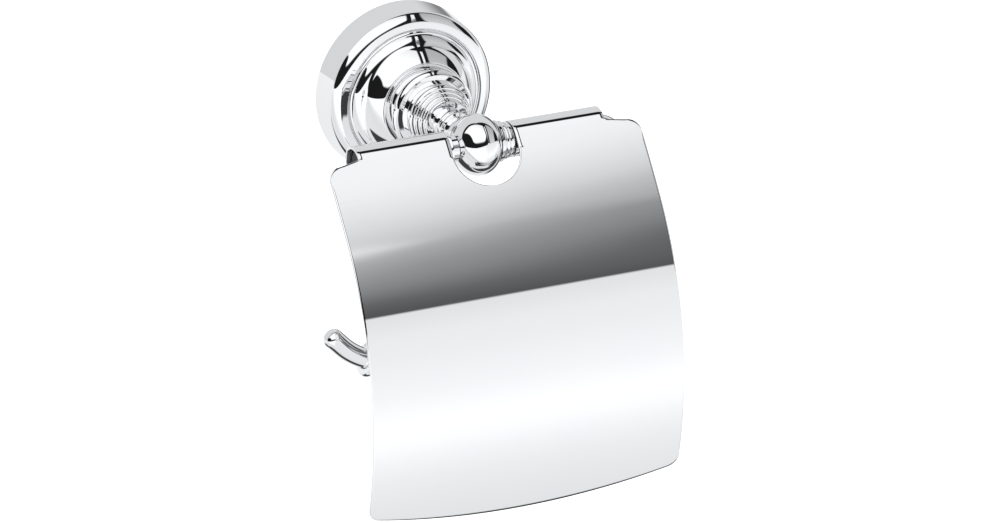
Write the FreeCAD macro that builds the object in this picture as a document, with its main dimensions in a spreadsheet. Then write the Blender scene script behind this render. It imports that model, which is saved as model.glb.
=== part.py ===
"""Wall-mounted toilet paper holder with a hinged cover.

Frame: the wall is the plane Y = 0 and the holder stands out of it towards -Y.
X runs along the cover's hinge, Z is up, and the origin is the centre of the
flange's back face.  Lengths are in millimetres.
"""
import FreeCAD, Part
import math
import os
import Sketcher

DIMENSIONS = {
    # flange
    "rosette_radius": 34.3,
    "rim_radius": 33.3,
    "rim_wall": 2.6,
    "shell_wall": 2.0,
    "rim_depth": 12.0,
    "band_round": 5.8,
    "band_radius": 30.1,
    "band_depth": 14.9,
    "lip_radius": 27.7,
    "lip_depth": 15.4,
    "groove_radius": 26.9,
    "groove_depth": 14.3,
    "bead_radius": 25.7,
    "bead_depth": 15.7,
    "bead_round": 1.2,
    "step_round": 5.0,
    "step_radius": 22.9,
    "step_depth": 18.2,
    "dome_radius": 22.0,
    "dome_depth": 18.9,
    "dome_round": 19.3,
    "crown_radius": 17.2,
    "crown_depth": 24.6,
    # wall bracket
    "bracket_radius": 31.0,
    "bracket_thick": 5.0,
    "bracket_bore": 12.0,
    "groove_bite": 1.0,
    "groove_half": 1.2,
    "screw_hole_radius": 2.6,
    "screw_spacing": 42.0,
    "slot_run": 4.0,
    # stem and ball
    "reach": 70.0,
    "thread_gap": 0.05,
    "clear_gap": 0.2,
    "chamfer": 0.5,
    "over_cut": 2.0,
    "drum_radius": 17.0,
    "drum_taper": 0.5,
    "drum_rise": 6.7,
    "drum_round": 2.6,
    "drum_hollow": 13.0,
    "drum_boss": 6.6,
    "drum_cavity": 5.5,
    "edge_in": 0.6,
    "edge_out": 0.55,
    "ring_two": 13.0,
    "ring_two_rise": 5.2,
    "ring_two_round": 1.4,
    "ring_three": 11.3,
    "ring_pitch": 2.0,
    "ring_shrink": 1.1,
    "ring_crest": 0.8,
    "ring_count": 3,
    "crest_run": 0.8,
    "crest_fall": 0.2,
    "stem_bead": 8.0,
    "stem_bead_round": 3.0,
    "stem_bead_inset": 2.0,
    "stem_bead_near": 0.6,
    "stem_bead_far": 5.4,
    "stem_slope": 0.4,
    "stem_collar_near": 6.4,
    "stem_collar_far": 8.2,
    "stem_collar_round": 1.2,
    "stem_collar": 6.7,
    "stem_neck": 5.4,
    "stem_bore": 14.0,
    "seat_depth": 60.2,
    "ball_radius": 11.75,
    "ball_half": 9.8,
    "ball_side_round": 13.0,
    "thread_radius": 3.0,
    "stud_start": 51.0,
    "stud_length": 14.0,
    "bolt_reach": 15.0,
    "bolt_head_radius": 5.0,
    "bolt_head_height": 4.0,
    "hex_socket": 2.5,
    "washer_radius": 6.2,
    "washer_thick": 1.0,
    "grub_radius": 2.0,
    "grub_point": 0.8,
    "grub_length": 4.2,
    "grub_socket": 1.0,
    # arm
    "rod_radius": 4.0,
    "axle_left": 44.0,
    "leg_offset": 58.0,
    "leg_bend": 9.0,
    "bar_drop": 80.5,
    "tip_start": 34.0,
    "tip_bend": 30.0,
    "tip_angle": 46.0,
    "tip_run": 8.0,
    "tip_round": 3.0,
    "ring_angle": 21.0,
    "ring_radius": 6.4,
    "ring_width": 3.0,
    "ring_round": 1.6,
    "collar_radius": 8.0,
    "collar_middle": 7.4,
    "collar_foot": 6.9,
    "collar_waist": 6.4,
    "collar_end": 13.2,
    "collar_parts": 9.0,
    "collar_foot_run": 2.4,
    "collar_slope": 0.4,
    "collar_hump_run": 2.2,
    "collar_hump_round": 0.8,
    "spacer_radius": 6.6,
    "spacer_neck": 5.0,
    "spacer_flange": 1.2,
    "cap_radius": 5.6,
    "cap_cover": 2.0,
    "cap_end": 48.5,
    # cover
    "cover_width": 128.0,
    "sheet": 1.0,
    "knuckle_radius": 7.0,
    "knuckle_outer": 50.5,
    "knuckle_wrap": 310.0,
    "top_slope": 50.0,
    "top_bow": 470.0,
    "top_sweep": 4.0,
    "front_bow": 113.0,
    "foot_bow": 138.0,
    "foot_sweep": 18.6,
    "bottom_rise": 7.1,
    "corner_round": 5.0,
    "notch_width": 27.0,
    "notch_depth": 18.7,
    "shoulder_step": 0.5,
    "shoulder_fall": 2.0,
    # friction bushes
    "bush_inset": 1.0,
    "bush_length": 26.0,
    "bush_gap": 0.05,
}

doc = FreeCAD.newDocument("paper_holder")
sheet = doc.addObject("Spreadsheet::Sheet", "dims")
for row, (alias, number) in enumerate(DIMENSIONS.items(), start=1):
    sheet.set(f"A{row}", alias.replace("_", " "))
    sheet.set(f"B{row}", str(number))
    sheet.setAlias(f"B{row}", alias)
doc.recompute()


class Length:
    """A number together with the formula that gives it from the sheet."""

    def __init__(self, value, formula):
        self.value = value
        self.formula = formula

    def joined(self, other, sign, value):
        return Length(value, f"({self.formula} {sign} {as_length(other).formula})")

    def __add__(self, other):
        return self.joined(other, "+", self.value + as_length(other).value)

    def __sub__(self, other):
        return self.joined(other, "-", self.value - as_length(other).value)

    def __mul__(self, other):
        return self.joined(other, "*", self.value * as_length(other).value)

    def __truediv__(self, other):
        return self.joined(other, "/", self.value / as_length(other).value)

    def __neg__(self):
        return Length(-self.value, f"(-1 * {self.formula})")


def as_length(item):
    """A plain number as a Length, so that formulas can mix the two."""
    return item if isinstance(item, Length) else Length(float(item), repr(float(item)))


def dim(alias):
    """The sheet's dimension of that name."""
    return Length(DIMENSIONS[alias], f"dims.{alias}")


def cosine(angle):
    return Length(math.cos(math.radians(angle.value)), f"cos({angle.formula} * 1 deg)")


def sine(angle):
    return Length(math.sin(math.radians(angle.value)), f"sin({angle.formula} * 1 deg)")


def root(square):
    return Length(math.sqrt(square.value), f"sqrt({square.formula})")


def plane_of(body, role):
    """One of a body's own origin planes or axes."""
    return next(item for item in body.Origin.OriginFeatures if item.Role == role)


def new_sketch(body, name, role, offset=None):
    sketch = body.newObject("Sketcher::SketchObject", name)
    sketch.AttachmentSupport = [(plane_of(body, role), "")]
    sketch.MapMode = "FlatFace"
    if offset is not None:
        sketch.AttachmentOffset = offset
    return sketch


def bind(sketch, kind, place, length):
    """Add one dimension to a sketch and tie it to the sheet."""
    number = sketch.addConstraint(Sketcher.Constraint(kind, *place, length.value))
    sketch.setExpression(f"Constraints[{number}]", length.formula)


START, END = 1, 2
# extra radius that lets a half circle be told from a straight line
SLACK = 0.0001
# least volume that a cut may take away, in cubic millimetres
SMALLEST_CUT = 0.05


def arc_between(first, last, radius, side):
    """The shorter arc; its centre lies left of the way for side 1, right for -1."""
    chord = last - first
    along = FreeCAD.Vector(chord).normalize()
    across = FreeCAD.Vector(-along.y, along.x, 0)
    if radius < chord.Length / 2:
        raise ValueError(f"an arc of radius {radius:.3f} can't span {chord.Length:.3f}")
    height = math.sqrt(radius ** 2 - (chord.Length / 2) ** 2)
    centre = first + chord * 0.5 + across * (side * height)
    ends = (first, last) if side > 0 else (last, first)
    angles = [math.atan2(end.y - centre.y, end.x - centre.x) for end in ends]
    circle = Part.Circle(centre, FreeCAD.Vector(0, 0, 1), radius)
    return Part.ArcOfCircle(circle, *angles)


def draw(sketch, corners, closed=True):
    """Draw an outline of corners (x, y), or (x, y, radius, side) where an arc leaves one."""
    corners = [tuple(as_length(v) for v in corner[:3]) + tuple(corner[3:]) for corner in corners]
    spots = [FreeCAD.Vector(corner[0].value, corner[1].value, 0) for corner in corners]
    pieces = []
    for number in range(len(corners) if closed else len(corners) - 1):
        corner = corners[number]
        first, last = spots[number], spots[(number + 1) % len(spots)]
        if len(corner) == 4:
            edge = arc_between(first, last, corner[2].value, corner[3])
            ends = (START, END) if corner[3] > 0 else (END, START)
        else:
            edge = Part.LineSegment(first, last)
            ends = (START, END)
        pieces.append((sketch.addGeometry(edge, False), ends))
    for number, (piece, ends) in enumerate(pieces):
        if closed or number + 1 < len(pieces):
            after, after_ends = pieces[(number + 1) % len(pieces)]
            sketch.addConstraint(Sketcher.Constraint("Coincident", piece, ends[1], after, after_ends[0]))
    for number, corner in enumerate(corners):
        if number < len(pieces):
            spot = (pieces[number][0], pieces[number][1][0])
        else:
            spot = (pieces[-1][0], pieces[-1][1][1])
        bind(sketch, "DistanceX", (-1, 1) + spot, corner[0])
        bind(sketch, "DistanceY", (-1, 1) + spot, corner[1])
        if len(corner) == 4:
            bind(sketch, "Radius", (spot[0],), corner[2])


def draw_circle(sketch, x, y, radius):
    x, y, radius = as_length(x), as_length(y), as_length(radius)
    centre = FreeCAD.Vector(x.value, y.value, 0)
    circle = Part.Circle(centre, FreeCAD.Vector(0, 0, 1), radius.value)
    number = sketch.addGeometry(circle, False)
    bind(sketch, "DistanceX", (-1, 1, number, 3), x)
    bind(sketch, "DistanceY", (-1, 1, number, 3), y)
    bind(sketch, "Radius", (number,), radius)


def new_body(label):
    body = doc.addObject("PartDesign::Body", label)
    body.Label = label
    return body


def placed(body, x=0.0, y=0.0, z=0.0, axis=(1, 0, 0), angle=0.0):
    """Put a finished sub-part in its place and tie the place to the sheet."""
    body.Placement = FreeCAD.Placement(
        FreeCAD.Vector(as_length(x).value, as_length(y).value, as_length(z).value),
        FreeCAD.Rotation(FreeCAD.Vector(*axis), angle))
    for name, length in zip("xyz", (x, y, z)):
        if isinstance(length, Length):
            body.setExpression(f".Placement.Base.{name}", length.formula)
    return body


def turned(label, outline, axis="V_Axis"):
    """A turned piece: an outline on the XY plane spun once about X (H_Axis) or Y (V_Axis)."""
    body = new_body(label)
    sketch = new_sketch(body, f"{label}_outline", "XY_Plane")
    draw(sketch, outline)
    spin = body.newObject("PartDesign::Revolution", f"{label}_spin")
    spin.Profile = sketch
    spin.ReferenceAxis = (sketch, [axis])
    spin.Angle = 360
    sketch.Visibility = False
    return body


def cut_through(body, name, sketch):
    """Cut a sketch through the whole body, both ways."""
    pocket = body.newObject("PartDesign::Pocket", name)
    pocket.Profile = sketch
    pocket.Type = "ThroughAll"
    pocket.Midplane = True
    sketch.Visibility = False
    return pocket


def cut_blind(body, name, sketch, depth, reverse=False):
    pocket = body.newObject("PartDesign::Pocket", name)
    pocket.Profile = sketch
    pocket.Length = depth.value
    pocket.setExpression("Length", depth.formula)
    pocket.Reversed = reverse
    sketch.Visibility = False
    return pocket


def hexagon(sketch, half_flats):
    """A hexagon about the sketch's origin, given half its width across flats."""
    corner = half_flats / cosine(as_length(30))
    draw(sketch, [(corner * cosine(as_length(60 * k)), corner * sine(as_length(60 * k)))
                  for k in range(6)])


# ---------------------------------------------------------------- flange

def make_rosette():
    """Hollow wall flange: a deep rim, two rounded bands with a bead between, and a dome."""
    rim, foot, wall = dim("rim_radius"), dim("rosette_radius"), dim("rim_wall")
    groove, bead, dome = dim("groove_radius"), dim("bead_radius"), dim("dome_radius")
    hole, shell, top = dim("thread_radius") + dim("clear_gap"), dim("shell_wall"), dim("crown_depth")
    outline = [
        (hole, -top),
        (dim("crown_radius"), -top, dim("dome_round"), 1),
        (dome, -dim("dome_depth")),
        (dim("step_radius"), -dim("step_depth"), dim("step_round"), 1),
        (bead, -dim("bead_depth"), dim("bead_round"), 1),
        (groove, -dim("groove_depth")),
        (dim("lip_radius"), -dim("lip_depth")),
        (dim("band_radius"), -dim("band_depth"), dim("band_round"), 1),
        (rim, -dim("rim_depth")),
        (foot, 0),
        (foot - wall, 0),
        (rim - wall, -dim("rim_depth") + wall / 2),
        (groove, -dim("groove_depth") + wall),
        (bead - wall, -dim("groove_depth") + wall / 2),
        (dome - wall, -dim("dome_depth") + shell),
        (dim("crown_radius") - shell, -top + shell),
        (hole, -top + shell),
    ]
    body = turned("rosette", outline)
    sketch = new_sketch(body, "rosette_grub_hole", "XY_Plane")
    draw_circle(sketch, 0, -dim("bracket_thick") / 2, dim("grub_radius") + dim("thread_gap"))
    cut_blind(body, "rosette_tapped_hole", sketch, dim("rosette_radius") + dim("over_cut"))
    return body


def make_bracket():
    """Turned disc on the wall: two slots for the wall screws and a grooved edge to lock on."""
    radius, thick, bore = dim("bracket_radius"), dim("bracket_thick"), dim("bracket_bore")
    body = turned("wall_bracket", [
        (bore, 0),
        (radius, 0),
        (radius, -thick / 2 + dim("grub_radius")),
        (radius - dim("groove_bite"), -thick / 2 + dim("groove_half")),
        (radius - dim("groove_bite"), -thick / 2 - dim("groove_half")),
        (radius, -thick / 2 - dim("grub_radius")),
        (radius, -thick),
        (bore, -thick),
    ])
    width, run = dim("screw_hole_radius"), dim("slot_run") / 2
    for side, name in ((-1, "left"), (1, "right")):
        middle = dim("screw_spacing") / 2 * side
        slot = new_sketch(body, f"slot_{name}", "XZ_Plane")
        draw(slot, [
            (middle - run, -width),
            (middle + run, -width, width + SLACK, 1),
            (middle + run, width),
            (middle - run, width, width + SLACK, 1),
        ])
        cut_through(body, f"slot_{name}_cut", slot)
    return body


def grub_screw(label):
    """A headless screw whose point is at the origin and whose socket faces down."""
    radius, length = dim("grub_radius"), dim("grub_length")
    body = new_body(label)
    sketch = new_sketch(body, f"{label}_outline", "XZ_Plane")
    draw(sketch, [
        (0, 0),
        (radius - dim("grub_point"), 0),
        (radius, -dim("grub_point")),
        (radius, -length),
        (0, -length),
    ])
    spin = body.newObject("PartDesign::Revolution", f"{label}_spin")
    spin.Profile = sketch
    spin.ReferenceAxis = (sketch, ["V_Axis"])
    spin.Angle = 360
    place = FreeCAD.Placement(FreeCAD.Vector(0, 0, -length.value), FreeCAD.Rotation())
    socket = new_sketch(body, f"{label}_socket", "XY_Plane", place)
    socket.setExpression(".AttachmentOffset.Base.z", (-length).formula)
    hexagon(socket, dim("grub_socket"))
    cut_blind(body, f"{label}_socket_cut", socket, length / 2, reverse=True)
    return body


def make_rosette_grub():
    """Headless locking screw through the flange's lower rim onto the bracket's groove."""
    return placed(grub_screw("rosette_grub_screw"), 0, -dim("bracket_thick") / 2,
                  -dim("bracket_radius") + dim("groove_bite") - dim("thread_gap") * 2)


# ---------------------------------------------------------------- stem

def make_stem():
    """Turned stem: a hollow drum, a smaller drum, thin stepped rings, a bead and a neck."""
    base, drum, taper = dim("crown_depth"), dim("drum_radius"), dim("drum_taper")
    bore, neck, seat = dim("thread_radius") + dim("thread_gap"), dim("stem_neck"), dim("seat_depth")
    top, edge_in, edge_out = base + dim("drum_rise"), dim("edge_in"), dim("edge_out")
    arc, small = dim("drum_round"), dim("ring_two_round")
    two, shrunk, crest = dim("ring_two"), dim("ring_two") - dim("drum_taper") / 2, dim("ring_crest")
    second = top + arc * edge_in + dim("ring_two_rise")
    outline = [
        (0, -base - dim("stem_bore")),
        (bore, -base - dim("stem_bore")),
        (bore, -base),
        (dim("drum_boss"), -base),
        (dim("drum_boss"), -base - dim("drum_cavity")),
        (dim("drum_hollow"), -base - dim("drum_cavity")),
        (dim("drum_hollow"), -base),
        (drum, -base),
        (drum - taper, -top, arc, 1),
        (drum - taper - arc * edge_in, -top - arc * edge_out),
        (two, -top - arc * edge_in),
        (shrunk, -second, small, 1),
        (shrunk - small * edge_in, -second - small * edge_out),
    ]
    depth, radius = second + small * edge_in, dim("ring_three")
    for _ in range(DIMENSIONS["ring_count"]):
        after = depth + dim("ring_pitch")
        outline += [(radius, -depth), (radius, -after + crest * dim("crest_run"), crest, 1),
                    (radius - crest * edge_in, -after + crest * dim("crest_fall"))]
        depth, radius = after, radius - dim("ring_shrink")
    bead, slope, collar = dim("stem_bead") - dim("stem_bead_inset"), dim("stem_slope"), dim("stem_collar")
    outline += [
        (bead, -depth),
        (bead, -depth - dim("stem_bead_near"), dim("stem_bead_round"), 1),
        (bead, -depth - dim("stem_bead_far")),
        (neck, -depth - dim("stem_bead_far") - slope),
        (neck, -depth - dim("stem_collar_near") + slope / 2),
        (collar, -depth - dim("stem_collar_near"), dim("stem_collar_round"), 1),
        (collar, -depth - dim("stem_collar_far")),
        (neck, -depth - dim("stem_collar_far") - slope),
        (neck, -seat),
        (bore, -seat),
        (bore, -dim("stud_start") + dim("chamfer")),
        (0, -dim("stud_start") + dim("chamfer")),
    ]
    return turned("stem", outline)


def make_stem_bolt():
    """Socket-head bolt from inside the flange into the stem's foot."""
    radius, head = dim("thread_radius"), dim("bolt_head_radius")
    under = dim("crown_depth") - dim("shell_wall") - dim("washer_thick")
    top = under - dim("bolt_head_height")
    body = turned("stem_bolt", [
        (0, -top),
        (head, -top),
        (head, -under),
        (radius, -under),
        (radius, -under - dim("bolt_reach") + dim("chamfer")),
        (radius - dim("chamfer"), -under - dim("bolt_reach")),
        (0, -under - dim("bolt_reach")),
    ])
    place = FreeCAD.Placement(FreeCAD.Vector(0, 0, top.value), FreeCAD.Rotation())
    socket = new_sketch(body, "stem_bolt_socket", "XZ_Plane", place)
    socket.setExpression(".AttachmentOffset.Base.z", top.formula)
    hexagon(socket, dim("hex_socket"))
    cut_blind(body, "stem_bolt_socket_cut", socket, dim("bolt_head_height") / 2, reverse=True)
    return body


def make_washer():
    """Plain washer under the stem bolt's head."""
    inside = dim("thread_radius") + dim("clear_gap")
    near = dim("crown_depth") - dim("shell_wall")
    return turned("stem_washer", [
        (inside, -near),
        (dim("washer_radius"), -near),
        (dim("washer_radius"), -near + dim("washer_thick")),
        (inside, -near + dim("washer_thick")),
    ])


def make_stud():
    """Threaded stud that joins the ball to the stem."""
    radius, start, tip = dim("thread_radius"), dim("stud_start"), dim("chamfer")
    end = start + dim("stud_length")
    return turned("ball_stud", [
        (0, -start),
        (radius - tip, -start),
        (radius, -start - tip),
        (radius, -end + tip),
        (radius - tip, -end),
        (0, -end),
    ])


# ---------------------------------------------------------------- ball and axle fittings

def drill(name, radius, length, x, y, z, axis, angle):
    """A cylinder used to bore another piece."""
    tool = doc.addObject("Part::Cylinder", name)
    for field, size in (("Radius", radius), ("Height", length)):
        tool.setExpression(field, size.formula)
    return placed(tool, x, y, z, axis, angle)


def make_ball():
    """Ball narrowed along the axle: bored for the axle, the stem, its stud and a grub screw."""
    reach, gap, seat = dim("reach"), dim("thread_gap"), dim("seat_depth")
    tall, half, side = dim("ball_radius"), dim("ball_half"), dim("ball_side_round")
    inset, past = side - half, side - tall
    crest = (side * side - tall * tall - inset * inset) / (past * 2)
    share = side / (side - crest)
    globe = turned("ball_globe", [
        (-half, 0, side, -1),
        (inset - inset * share, (tall - crest) * share, crest, -1),
        (inset * share - inset, (tall - crest) * share, side, -1),
        (half, 0),
    ], "H_Axis")
    placed(globe, 0, -reach, 0)
    width = (tall + dim("over_cut")) * 2
    tools = [
        drill("ball_axle_bore", dim("rod_radius") + gap, width, -width / 2, -reach, 0, (0, 1, 0), 90),
        drill("ball_seat", dim("stem_neck") + gap, dim("rod_radius"), 0, -seat, 0, (1, 0, 0), -90),
        drill("ball_stud_bore", dim("thread_radius") + gap, reach - seat, 0, -reach, 0,
              (1, 0, 0), -90),
        drill("ball_grub_bore", dim("grub_radius") + gap, width / 2, 0, -reach, 0, (1, 0, 0), 180),
    ]
    holes = doc.addObject("Part::MultiFuse", "ball_holes")
    holes.Shapes = tools
    ball = doc.addObject("Part::Cut", "ball")
    ball.Base = globe
    ball.Tool = holes
    ball.Label = "ball"
    return ball


def make_ball_grub():
    """Headless screw in the ball's underside that grips the arm."""
    drop = dim("rod_radius") + dim("thread_gap") * 2
    return placed(grub_screw("ball_grub_screw"), 0, -dim("reach"), -drop)


def beside_ball(radius):
    """How far along the axle a ring of that radius clears the ball's side."""
    side, half = dim("ball_side_round"), dim("ball_half")
    clear = side + dim("clear_gap")
    return root(clear * clear - radius * radius) - (side - half)


def make_collar_right():
    """Grooved collar between the ball and the right knuckle, dished to clear the ball."""
    inside, end, edge = dim("rod_radius") + dim("thread_gap"), dim("collar_end"), dim("chamfer")
    rim, middle, foot = dim("collar_radius"), dim("collar_middle"), dim("collar_foot")
    waist, start = dim("collar_waist"), beside_ball(rim)
    step = (end - start) / dim("collar_parts")
    slope = step * dim("collar_slope")
    hump = end - step * dim("collar_foot_run") - slope * 2
    rear = hump - step * dim("collar_hump_run")
    body = turned("collar_right", [
        (beside_ball(inside), inside),
        (end, inside),
        (end, foot - edge),
        (end - edge, foot),
        (hump + slope * 2, foot),
        (hump + slope, waist),
        (hump, waist),
        (hump, middle - edge, dim("collar_hump_round"), 1),
        (rear, middle - edge),
        (rear, waist),
        (rear - slope, waist),
        (rear - slope * 2, rim - edge),
        (rear - slope * 4, rim),
        (start, rim, dim("ball_side_round") + dim("clear_gap"), -1),
    ], "H_Axis")
    return placed(body, 0, -dim("reach"), 0)


def make_collar_left():
    """Plain spacer between the ball and the left knuckle: a short neck and a thin flange."""
    inside, end, edge = dim("rod_radius") + dim("thread_gap"), dim("collar_end"), dim("chamfer")
    neck, rim = dim("spacer_neck"), dim("spacer_radius")
    body = turned("collar_left", [
        (-beside_ball(inside), inside),
        (-beside_ball(neck), neck),
        (-end + dim("spacer_flange"), neck),
        (-end + dim("spacer_flange"), rim),
        (-end + edge, rim),
        (-end, rim - edge),
        (-end, inside),
    ], "H_Axis")
    return placed(body, 0, -dim("reach"), 0)


def make_cap():
    """Plastic cap pushed on the axle's free end: it closes the knuckle and keeps the bush in."""
    inside, gap = dim("rod_radius") + dim("thread_gap"), dim("thread_gap")
    outside, face, far = dim("cap_radius"), dim("axle_left") + gap, dim("cap_end")
    start = dim("axle_left") - dim("cap_cover")
    body = turned("axle_cap", [
        (-start, inside),
        (-start, outside),
        (-far + dim("chamfer"), outside),
        (-far, outside - dim("chamfer")),
        (-far, 0),
        (-face, 0),
        (-face, inside),
    ], "H_Axis")
    return placed(body, 0, -dim("reach"), 0)


# ---------------------------------------------------------------- arm

def make_arm():
    """One bent rod: the hinge axle, the leg down the right side, the roll bar and its tip."""
    left, leg, bend, drop = dim("axle_left"), dim("leg_offset"), dim("leg_bend"), dim("bar_drop")
    start, turn, angle, run = dim("tip_start"), dim("tip_bend"), dim("tip_angle"), dim("tip_run")
    body = new_body("arm")
    path = new_sketch(body, "arm_path", "XZ_Plane")
    end_x = -start - turn * sine(angle)
    end_z = -drop + turn * (as_length(1) - cosine(angle))
    draw(path, [
        (-left, 0),
        (leg - bend, 0, bend, -1),
        (leg, -bend),
        (leg, -drop + bend, bend, -1),
        (leg - bend, -drop),
        (-start, -drop, turn, -1),
        (end_x, end_z),
        (end_x - run * cosine(angle), end_z + run * sine(angle)),
    ], closed=False)
    place = FreeCAD.Placement(FreeCAD.Vector(0, 0, -left.value), FreeCAD.Rotation())
    section = new_sketch(body, "arm_section", "YZ_Plane", place)
    section.setExpression(".AttachmentOffset.Base.z", (-left).formula)
    draw_circle(section, 0, 0, dim("rod_radius"))
    pipe = body.newObject("PartDesign::AdditivePipe", "arm_rod")
    pipe.Profile = section
    pipe.Spine = (path, [])
    doc.recompute()
    ends = [edge_at(pipe.Shape, FreeCAD.Vector(-left.value, 0, 0))]
    rim = body.newObject("PartDesign::Chamfer", "arm_axle_chamfer")
    rim.Base = (pipe, ends)
    rim.setExpression("Size", dim("chamfer").formula)
    doc.recompute()
    tip = FreeCAD.Vector(end_x.value - run.value * math.cos(math.radians(angle.value)), 0,
                         end_z.value + run.value * math.sin(math.radians(angle.value)))
    nose = body.newObject("PartDesign::Fillet", "arm_tip_round")
    nose.Base = (rim, [edge_at(rim.Shape, tip)])
    nose.setExpression("Radius", dim("tip_round").formula)
    return placed(body, 0, -dim("reach"), 0)


def edge_at(shape, spot):
    """The name of the edge whose middle lies nearest a spot."""
    far = [(edge.CenterOfMass.distanceToPoint(spot), number)
           for number, edge in enumerate(shape.Edges, start=1)]
    return f"Edge{min(far)[1]}"


def make_bar_ring():
    """Small ring pressed on the bar where its tip begins to rise."""
    angle = dim("ring_angle")
    inside = dim("rod_radius") + dim("thread_gap") * 2
    outside, half = dim("ring_radius"), dim("ring_width") / 2
    flat = outside - dim("chamfer")
    body = turned("bar_ring", [
        (-half, inside),
        (half, inside),
        (half, flat, dim("ring_round"), 1),
        (-half, flat),
    ], "H_Axis")
    x = -dim("tip_start") - dim("tip_bend") * sine(angle)
    z = -dim("bar_drop") + dim("tip_bend") * (as_length(1) - cosine(angle))
    return placed(body, x, -dim("reach"), z, (0, 1, 0), angle.value)


# ---------------------------------------------------------------- cover

def cover_path():
    """Corners of the cover's outer face and its slope at each, from the top edge down.

    Distances are out from the axle's centre line and up from it.
    """
    slope = [dim("top_slope"), dim("top_slope") + dim("top_sweep"), as_length(90),
             as_length(90) + dim("foot_sweep")]
    bows = [dim("top_bow"), dim("front_bow"), dim("foot_bow")]
    out, up = dim("knuckle_radius") * sine(slope[0]), dim("knuckle_radius") * cosine(slope[0])
    spots = [(out, up, slope[0])]
    for bow, first, last in zip(bows, slope, slope[1:]):
        out = out + bow * (sine(last) - sine(first))
        up = up + bow * (cosine(last) - cosine(first))
        spots.append((out, up, last))
    return spots, bows


def make_cover():
    """Bent sheet with two rolled knuckles, a round notch between them and a bowed foot."""
    body = new_body("cover")
    thick, half = dim("sheet"), dim("cover_width") / 2
    spots, bows = cover_path()
    outer = [(-out, up) for out, up, slope in spots]
    inner = [(-out + thick * sine(slope), up - thick * cosine(slope)) for out, up, slope in spots]
    corners = [outer[k] + (bows[k], 1) for k in range(3)] + [outer[3]]
    corners += [inner[3] + (bows[2] - thick, -1), inner[2] + (bows[1] - thick, -1)]
    corners += [inner[1] + (bows[0] - thick, -1), inner[0]]
    profile = new_sketch(body, "cover_profile", "YZ_Plane")
    draw(profile, corners)
    pad = body.newObject("PartDesign::Pad", "cover_sheet")
    pad.Profile = profile
    pad.Midplane = True
    pad.setExpression("Length", dim("cover_width").formula)
    profile.Visibility = False

    past, allowance = dim("over_cut"), dim("thread_gap")
    rise, turn = dim("bottom_rise"), dim("corner_round")
    middle = spots[-1][1] + thick / 2
    bow = (half * half + rise * rise) / (rise * 2)
    lean = (half - turn) / (bow - turn)
    level = root(as_length(1) - lean * lean)
    centre = middle + bow
    foot = new_sketch(body, "cover_foot", "XZ_Plane")
    draw(foot, [
        (-half, centre - (bow - turn) * level, turn, 1),
        (-bow * lean, centre - bow * level, bow, 1),
        (bow * lean, centre - bow * level, turn, 1),
        (half, centre - (bow - turn) * level),
        (half + past, centre - (bow - turn) * level),
        (half + past, middle - rise),
        (-half - past, middle - rise),
        (-half - past, centre - (bow - turn) * level),
    ])
    cut_through(body, "cover_foot_cut", foot)

    slope = dim("top_slope") + dim("top_sweep") / 2
    tilt = FreeCAD.Placement(
        FreeCAD.Vector(), FreeCAD.Rotation(FreeCAD.Vector(1, 0, 0), slope.value - 90))
    top = spots[0][1] * sine(slope) - spots[0][0] * cosine(slope) - allowance
    wide = dim("notch_width") / 2
    notch = new_sketch(body, "cover_notch", "XZ_Plane", tilt)
    draw(notch, [
        (-wide, top + past),
        (-wide, top + wide - dim("notch_depth"), wide + SLACK, 1),
        (wide, top + wide - dim("notch_depth")),
        (wide, top + past),
    ])
    cut_through(body, "cover_notch_cut", notch)
    for side, name in ((-1, "left"), (1, "right")):
        shoulder = new_sketch(body, f"cover_shoulder_{name}", "XZ_Plane", tilt)
        draw(shoulder, [
            (dim("knuckle_outer") * side, top + past),
            (dim("knuckle_outer") * side, top - dim("shoulder_step")),
            ((half - turn) * side, top - dim("shoulder_fall"), turn, -side),
            (half * side, top - dim("shoulder_fall") - turn),
            ((half + past) * side, top - dim("shoulder_fall") - turn),
            ((half + past) * side, top + past),
        ])
        cut_through(body, f"cover_shoulder_{name}_cut", shoulder)
    doc.recompute()
    return roll_knuckles(body)


def roll_knuckles(body):
    """Wind the sheet's two tabs round the axle's place."""
    inner = dim("notch_width") / 2
    start = 90 + DIMENSIONS["top_slope"]
    wrap = DIMENSIONS["knuckle_wrap"]
    turns = [start - wrap * k / 3 for k in range(4)]
    outside, inside = dim("knuckle_radius"), dim("knuckle_radius") - dim("sheet")
    place = FreeCAD.Placement(FreeCAD.Vector(0, 0, inner.value), FreeCAD.Rotation())
    roll = new_sketch(body, "knuckle_profile", "YZ_Plane", place)
    roll.setExpression(".AttachmentOffset.Base.z", inner.formula)
    wind = [(outside * cosine(as_length(a)), outside * sine(as_length(a))) for a in turns]
    back = [(inside * cosine(as_length(a)), inside * sine(as_length(a))) for a in reversed(turns)]
    draw(roll, [spot + (outside, -1) for spot in wind[:3]] + [wind[3]]
         + [spot + (inside, 1) for spot in back[:3]] + [back[3]])
    pad = body.newObject("PartDesign::Pad", "knuckle_right")
    pad.Profile = roll
    pad.setExpression("Length", (dim("knuckle_outer") - inner).formula)
    roll.Visibility = False
    doc.recompute()
    pair = body.newObject("PartDesign::Mirrored", "knuckle_pair")
    pair.Originals = [pad]
    pair.MirrorPlane = (plane_of(body, "YZ_Plane"), [""])
    body.Tip = pair
    return placed(body, 0, -dim("reach"), 0)


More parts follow.
